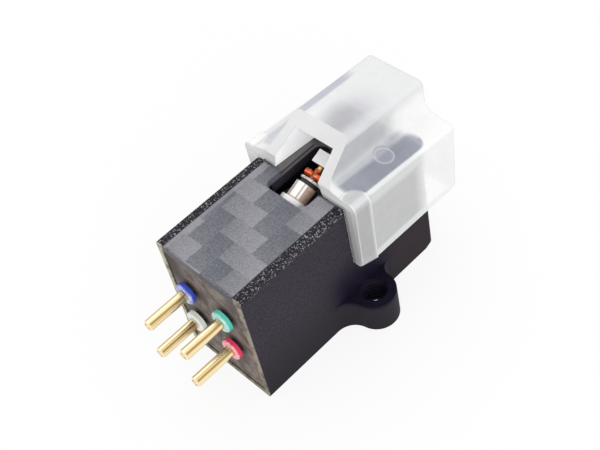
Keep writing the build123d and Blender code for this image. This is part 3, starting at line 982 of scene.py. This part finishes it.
def new_piece(name: str, mesh: bmesh.types.BMesh, finish: Finish, body: str) -> bpy.types.Object:
    """Makes a mesh a piece of the part.

    Args:
        name: name of the piece.
        mesh: its mesh, freed here.
        finish: its finish.
        body: the body that it rides on.

    Returns:
        The piece.
    """
    bmesh.ops.remove_doubles(mesh, verts=mesh.verts, dist=MERGE_DISTANCE)
    bmesh.ops.recalc_face_normals(mesh, faces=mesh.faces)
    data = bpy.data.meshes.new(name)
    mesh.to_mesh(data)
    mesh.free()
    data.shade_smooth()
    data.materials.append(finish.material())
    piece = bpy.data.objects.new(name, data)
    bpy.context.scene.collection.objects.link(piece)
    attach(piece, body)
    LOG.info("made %s", name)
    return piece


@dataclass
class Housing:
    """Moulded housing with its plate and the threads of its screw holes."""

    deck_z: float = 13.1
    rear_y: float = -12.65
    window_half: float = 2.35
    screw_spacing: float = 12.7
    hole_r: float = 1.25
    ear_thick: float = 3.3
    thread_pitch: float = 0.45
    thread_depth: float = 0.16
    thread_flank: float = 0.35
    thread_sink: float = 0.02
    thread_steps: int = 32

    def build(self) -> None:
        """Dresses the housing and the plate, and winds the threads."""
        dress("housing", HousingPaint(self.deck_z, self.rear_y, self.window_half))
        dress("underside_plate", WovenPlate(self.rear_y))
        shade = Moulded("thread_shade", (0.017, 0.014, 0.030), 0.8, roughness=0.6, gloss=0.12)
        for side in Side:
            self.thread(side, shade)

    def thread(self, side: Side, shade: Finish) -> None:
        """Winds the thread in one screw hole.

        Args:
            side: which ear.
            shade: finish of the thread.
        """
        mesh = bmesh.new()
        low = self.thread_pitch / 2
        turns = math.floor((self.ear_thick - 2 * low) / self.thread_pitch)
        root = self.hole_r + self.thread_sink
        flank = self.thread_flank * self.thread_pitch
        crest = mesh.verts.new((root - self.thread_depth, 0, low))
        below = mesh.verts.new((root, 0, low - flank))
        above = mesh.verts.new((root, 0, low + flank))
        start = [mesh.edges.new(pair) for pair in ((below, crest), (crest, above), (above, below))]
        bmesh.ops.spin(mesh, geom=[below, crest, above, *start], cent=(0, 0, 0), axis=(0, 0, 1),
                       dvec=(0, 0, self.thread_pitch / self.thread_steps),
                       angle=turns * math.tau, steps=turns * self.thread_steps)
        rims = [edge for edge in mesh.edges if edge.is_boundary]
        bmesh.ops.holes_fill(mesh, edges=rims, sides=3)
        shift = Matrix.Translation((side.value * self.screw_spacing / 2, 0, 0))
        bmesh.ops.transform(mesh, matrix=Matrix.Scale(MM, 4) @ shift, verts=mesh.verts)
        new_piece(f"thread_{side.name.lower()}", mesh, shade, "housing")


@dataclass
class Terminals:
    """Terminal board with its contact pins, coloured collars and leads."""

    pin_x: float = 2.3
    pin_low_z: float = 5.4
    pin_high_z: float = 9.45
    pin_r: float = 0.52
    end_y: float = -17.33
    collar_y: float = -13.36
    collar_r: float = 1.06
    collar_thick: float = 0.52
    collar_bevel: float = 0.1
    collar_steps: int = 48
    sharp_angle: float = 30.0
    neck_r: float = 0.66
    bore_r: float = 0.25
    board_y: float = -12.5
    lead: Colour = (0.09, 0.035, 0.02)

    def build(self) -> None:
        """Dresses the board, pins and leads, and turns the collars."""
        middle = (self.pin_low_z + self.pin_high_z) / 2
        dress("terminal_board", BoardFace(self.pin_x, middle, self.pin_high_z - self.pin_low_z))
        for hue in CollarHue:
            colour = hue.name.lower()
            x = self.pin_x if hue in (CollarHue.RED, CollarHue.GREEN) else -self.pin_x
            z = self.pin_high_z if hue in (CollarHue.BLUE, CollarHue.GREEN) else self.pin_low_z
            dress(f"{colour}_pin", GoldPin(f"{colour}_pin", (x, z), self.pin_r, self.end_y))
            self.collar(hue, x, z)
            dress(f"{colour}_lead", Moulded(f"{colour}_lead", self.lead, 0.7, 0.35, grain=0.2))

    def collar(self, hue: CollarHue, x: float, z: float) -> None:
        """Turns one collar: a thin disc on a narrow neck.

        Args:
            hue: which of the four.
            x: place of its pin across.
            z: height of its pin.
        """
        mesh = bmesh.new()
        back = self.collar_y + self.collar_thick
        outline = ((self.bore_r, self.collar_y), (self.collar_r - self.collar_bevel, self.collar_y),
                   (self.collar_r, self.collar_y + self.collar_bevel), (self.collar_r, back),
                   (self.neck_r, back), (self.neck_r, self.board_y), (self.bore_r, self.board_y))
        ring = [mesh.verts.new((radius, y, 0)) for radius, y in outline]
        edges = [mesh.edges.new(pair) for pair in zip(ring, ring[1:] + ring[:1])]
        bmesh.ops.spin(mesh, geom=[*ring, *edges], cent=(0, 0, 0), axis=(0, 1, 0),
                       angle=math.tau, steps=self.collar_steps, use_merge=True)
        matrix = Matrix.Scale(MM, 4) @ Matrix.Translation((x, 0, z))
        bmesh.ops.transform(mesh, matrix=matrix, verts=mesh.verts)
        name = hue.name.lower()
        finish = Collar(f"{name}_collar", hue.value, self.collar_y, back)
        piece = new_piece(f"collar_{name}", mesh, finish, "housing")
        piece.data.set_sharp_from_angle(angle=math.radians(self.sharp_angle))
        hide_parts(f"{name}_collar")


@dataclass
class Generator:
    """Magnet, poles, coils and cantilever on the sloping axis."""

    axis: SlopingAxis = SlopingAxis()
    coil_r: float = 0.37
    coil_bore_r: float = 0.17
    coil_thick: float = 0.85
    coil_spread: float = 0.55
    coil_lift: float = 0.08
    coil_tilt: float = 90.0
    coil_u: float = 0.70
    pole_rise: float = 0.64
    rear_pole_r: float = 1.12
    flange_u: float = -1.93
    disc_end: float = 0.2
    shade_u: float = 2.7
    rows: int = 9
    layers: int = 3
    wire_sides: int = 8
    turn_steps: int = 28

    def build(self) -> None:
        """Dresses the generator's pieces and winds its coils."""
        finishes = {
            "yoke": Metal("soft_iron", (0.34, 0.34, 0.35), 0.38),
            "locking_screw": Metal("screw_steel", (0.45, 0.45, 0.46), 0.3),
            "rear_pole": PlatedPole(self.axis, self.rear_pole_r, self.flange_u),
            "tie_wire": Metal("tie_wire", (0.55, 0.55, 0.56), 0.25),
            "magnet": Moulded("magnet", (0.06, 0.06, 0.065), 0.8, 0.4),
            "front_pole": FacedPole(self.axis, self.pole_rise),
            "damper": Moulded("damper_rubber", (0.035, 0.022, 0.016), 0.7, 0.6),
            "coil_former": WoundFormer(self.axis, self.disc_end),
            "joint_pipe": GiltPipe(self.axis, self.shade_u),
            "cantilever": Metal("dull_rod", (0.22, 0.22, 0.23), 0.36),
            "stylus_tip": Moulded("stylus_tip", (0.75, 0.75, 0.72), 0.95, 0.08, 0.5, depth=0.0),
        }
        for node, finish in finishes.items():
            dress(node, finish)
        # the pale patches on the copper turns are painted highlights
        copper = Metal("copper_turns", (0.80, 0.16, 0.05), 0.2, mark=0.06,
                       tarnish_and_sheen=(1.0, 0.84, 0.74), tarnish_and_sheen_share=1.0, patch=0.4)
        for side in Side:
            self.wind(side, copper)

    def wind(self, side: Side, copper: Finish) -> None:
        """Winds one coil turn by turn.

        Args:
            side: which coil of the pair.
            copper: finish of its wire.
        """
        mesh = bmesh.new()
        wire = self.coil_thick / (2 * self.rows)
        depth = self.coil_r - self.coil_bore_r - 2 * wire
        for row in range(self.rows):
            level = -self.coil_thick / 2 + wire * (2 * row + 1)
            for layer in range(self.layers):
                radius = self.coil_bore_r + wire + depth * layer / (self.layers - 1)
                self.turn(mesh, radius, level, wire)
        lean = Matrix.Rotation(math.radians(side.value * self.coil_tilt), 4, "Y")
        spot = Matrix.Translation((side.value * self.coil_spread, self.coil_u, self.coil_lift))
        matrix = Matrix.Scale(MM, 4) @ self.axis.frame() @ spot @ lean
        bmesh.ops.transform(mesh, matrix=matrix, verts=mesh.verts)
        name = side.name.lower()
        piece = new_piece(f"turns_{name}", mesh, copper, "moving_system")
        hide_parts(f"{name}_coil")

    def turn(self, mesh: bmesh.types.BMesh, radius: float, level: float, wire: float) -> None:
        """Adds one turn of wire.

        Args:
            mesh: where it goes.
            radius: middle of the wire from the coil's axis.
            level: height along the axis.
            wire: radius of the wire.
        """
        place = Matrix.Translation((radius, 0, level)) @ Matrix.Rotation(math.pi / 2, 4, "X")
        section = bmesh.ops.create_circle(
            mesh, segments=self.wire_sides, radius=wire, matrix=place)["verts"]
        edges = list({edge for vert in section for edge in vert.link_edges})
        bmesh.ops.spin(mesh, geom=[*section, *edges], cent=(0, 0, 0), axis=(0, 0, 1),
                       angle=math.tau, steps=self.turn_steps, use_merge=True)


@dataclass
class Guard:
    """Frosted stylus guard."""

    rear_y: float = -0.71
    half: float = 6.3
    shoulder_z: float = 15.19
    shoulder_fall: float = 0.085
    skirt_z: float = 6.2
    rake: float = 0.66
    roof_z: float = 18.19
    roof_fall: float = 0.062
    roof_half: float = 3.05
    tunnel_half: float = 2.87
    post_width: float = 1.9
    mark: Point = (4.37, 5.32, 0.82)

    def build(self) -> None:
        """Dresses the guard."""
        dress("stylus_guard", Frosted(
            self.rear_y, self.half, self.shoulder_z, self.shoulder_fall, self.skirt_z, self.rake,
            self.roof_z, self.roof_fall, self.roof_half, self.tunnel_half, self.post_width,
            self.mark))


@dataclass(frozen=True)
class Lamp:
    """Soft square lamp that points at the part."""

    name: str
    place: Point
    size: float
    watts: float
    target: Point = (0.0, 0.0, 0.008)

    def hang(self) -> None:
        """Adds the lamp to the scene."""
        data = bpy.data.lights.new(self.name, "AREA")
        data.size = self.size
        data.energy = self.watts
        lamp = bpy.data.objects.new(self.name, data)
        bpy.context.scene.collection.objects.link(lamp)
        lamp.location = self.place
        aim = Vector(self.target) - Vector(self.place)
        lamp.rotation_euler = aim.to_track_quat("-Z", "Y").to_euler()


@dataclass
class Studio:
    """White table, soft lamps and the camera."""

    eye: Point = (0.052741, -0.037941, 0.082078)
    forward: Point = (-0.54365, 0.37394, -0.75141)
    down: Point = (0.46308, -0.61303, -0.64012)
    lens: float = 66.75
    sensor: float = 36.0
    clip_start: float = 0.005
    table_size: float = 1.6
    table_glow: float = 0.86
    paint: Colour = (0.72, 0.72, 0.72)
    paint_seen: Colour = (0.92, 0.92, 0.92)
    world_level: float = 0.85
    lamps: tuple[Lamp, ...] = (
        Lamp("key_lamp", (-0.10, 0.05, 0.22), 0.16, 0.10),
        Lamp("fill_lamp", (0.24, -0.12, 0.14), 0.20, 0.28),
    )

    def build(self) -> None:
        """Sets up the table, the world, the lamps and the camera."""
        bpy.context.scene.view_settings.view_transform = "Standard"
        self.table()
        self.world()
        for lamp in self.lamps:
            lamp.hang()
        self.camera()

    def table(self) -> None:
        """Makes the white table, which glows for the camera and keeps a faint shadow."""
        mesh = bmesh.new()
        bmesh.ops.create_grid(mesh, x_segments=2, y_segments=2, size=self.table_size)
        data = bpy.data.meshes.new("table")
        mesh.to_mesh(data)
        mesh.free()
        data.materials.append(self.table_material())
        table = bpy.data.objects.new("table", data)
        bpy.context.scene.collection.objects.link(table)

    def seen(self, shader: Shader) -> Value:
        """One for rays that look at the background straight, in gloss or through glass.

        Args:
            shader: the tree that asks.

        Returns:
            The mask.
        """
        path = shader.node("ShaderNodeLightPath")
        straight, gloss, glass = (Value(shader, path.outputs[f"Is {kind} Ray"])
                                  for kind in ("Camera", "Glossy", "Transmission"))
        return shader.capped(straight + gloss + glass)

    def table_material(self) -> bpy.types.Material:
        """White table paint with a glow for the background."""
        shader = Shader.named("white_table")
        seen = self.seen(shader)
        paint = shader.node("ShaderNodeBsdfPrincipled", None, {
            "Base Color": shader.mix(seen, self.paint, self.paint_seen),
            "Roughness": 0.9, "Specular IOR Level": 0.0})
        glow = shader.node("ShaderNodeEmission", None, {"Color": WHITE, "Strength": 1.0})
        return shader.end(shader.node("ShaderNodeMixShader", None, {
            0: seen * self.table_glow, 1: paint.outputs[0], 2: glow.outputs[0]}))

    def world(self) -> None:
        """White surroundings that light the part at a plain level."""
        world = bpy.data.worlds.new("studio")
        bpy.context.scene.world = world
        shader = Shader(world, "ShaderNodeOutputWorld")
        level = self.world_level + self.seen(shader) * (1.0 - self.world_level)
        shader.end(shader.node("ShaderNodeBackground", None, {"Color": WHITE, "Strength": level}))

    def camera(self) -> None:
        """Adds the camera at the photograph's viewpoint."""
        data = bpy.data.cameras.new("camera")
        data.lens = self.lens
        data.sensor_width = self.sensor
        data.sensor_fit = "HORIZONTAL"
        data.clip_start = self.clip_start
        camera = bpy.data.objects.new("camera", data)
        bpy.context.scene.collection.objects.link(camera)
        back = -Vector(self.forward).normalized()
        up = -Vector(self.down).normalized()
        turn = Matrix((up.cross(back), up, back)).transposed().to_4x4()
        camera.matrix_world = Matrix.Translation(self.eye) @ turn
        bpy.context.scene.camera = camera


def main() -> None:
    """Builds the assemblies in order."""
    logging.basicConfig(level=logging.INFO, format="%(name)s: %(message)s")
    for assembly in (Housing(), Terminals(), Generator(), Guard(), Studio()):
        assembly.build()
        LOG.info("built %s", type(assembly).__name__)


if __name__ == "__main__":
    main()
